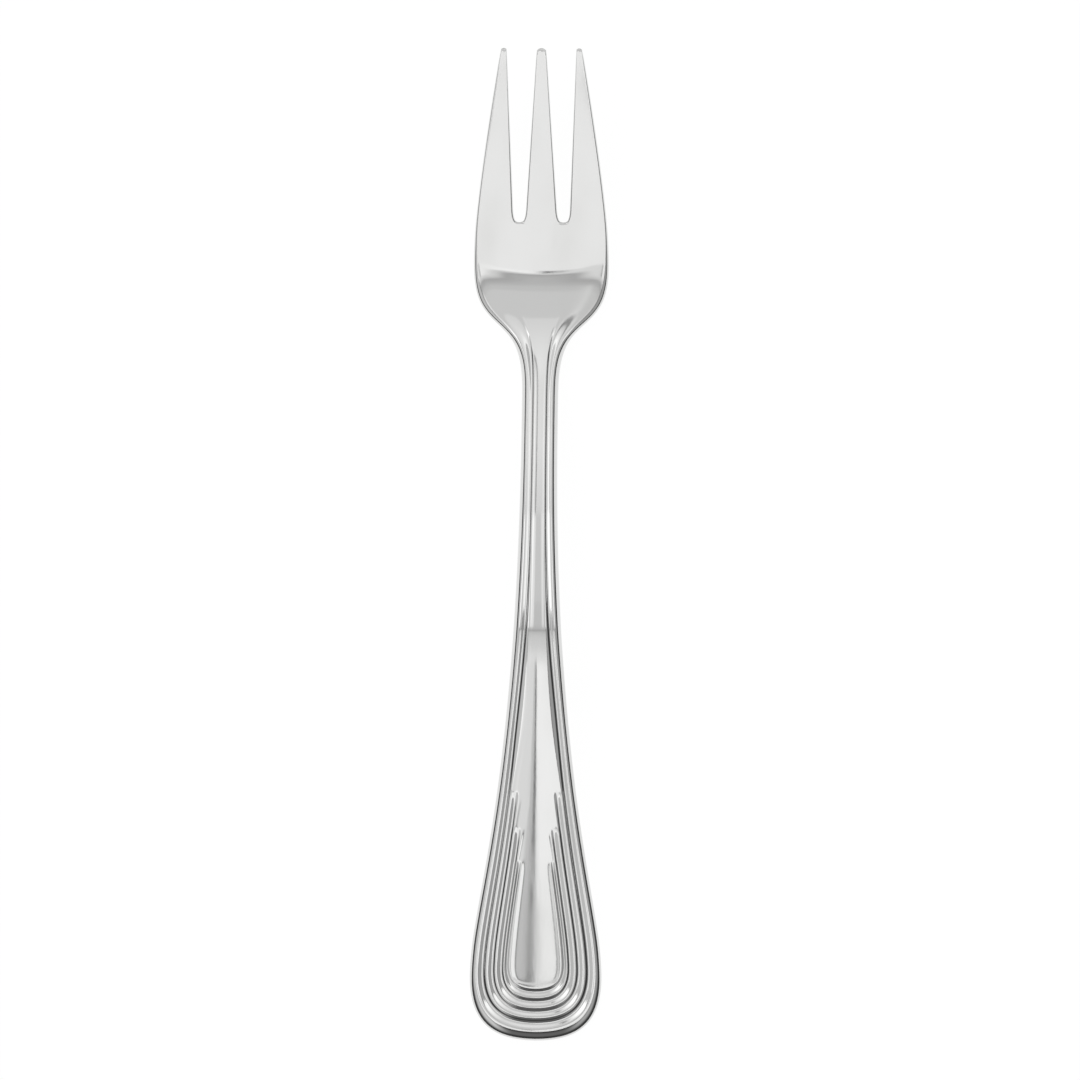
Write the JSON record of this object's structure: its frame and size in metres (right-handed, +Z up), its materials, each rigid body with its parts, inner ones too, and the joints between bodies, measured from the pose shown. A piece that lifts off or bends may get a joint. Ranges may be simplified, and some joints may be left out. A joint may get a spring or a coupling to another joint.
{
  "type": "oyster fork",
  "caption": "Slim steel oyster fork: short tapering tines on a dished head, a narrow arched neck and a flared handle with a rim and nested raised threads.",
  "frame": {"origin": "on the table under the middle of the fork's length, with the fork lying on its back", "axes": "+Y from the handle's end to the tine tips, +X across the fork, +Z up out of the hollow of the head"},
  "size_m": [0.02, 0.146, 0.0119],
  "materials": {
    "steel": "polished stainless steel with fine buffing lines"
  },
  "bodies": {
    "root": {"oyster_fork": "steel"}
  },
  "joints": []
}
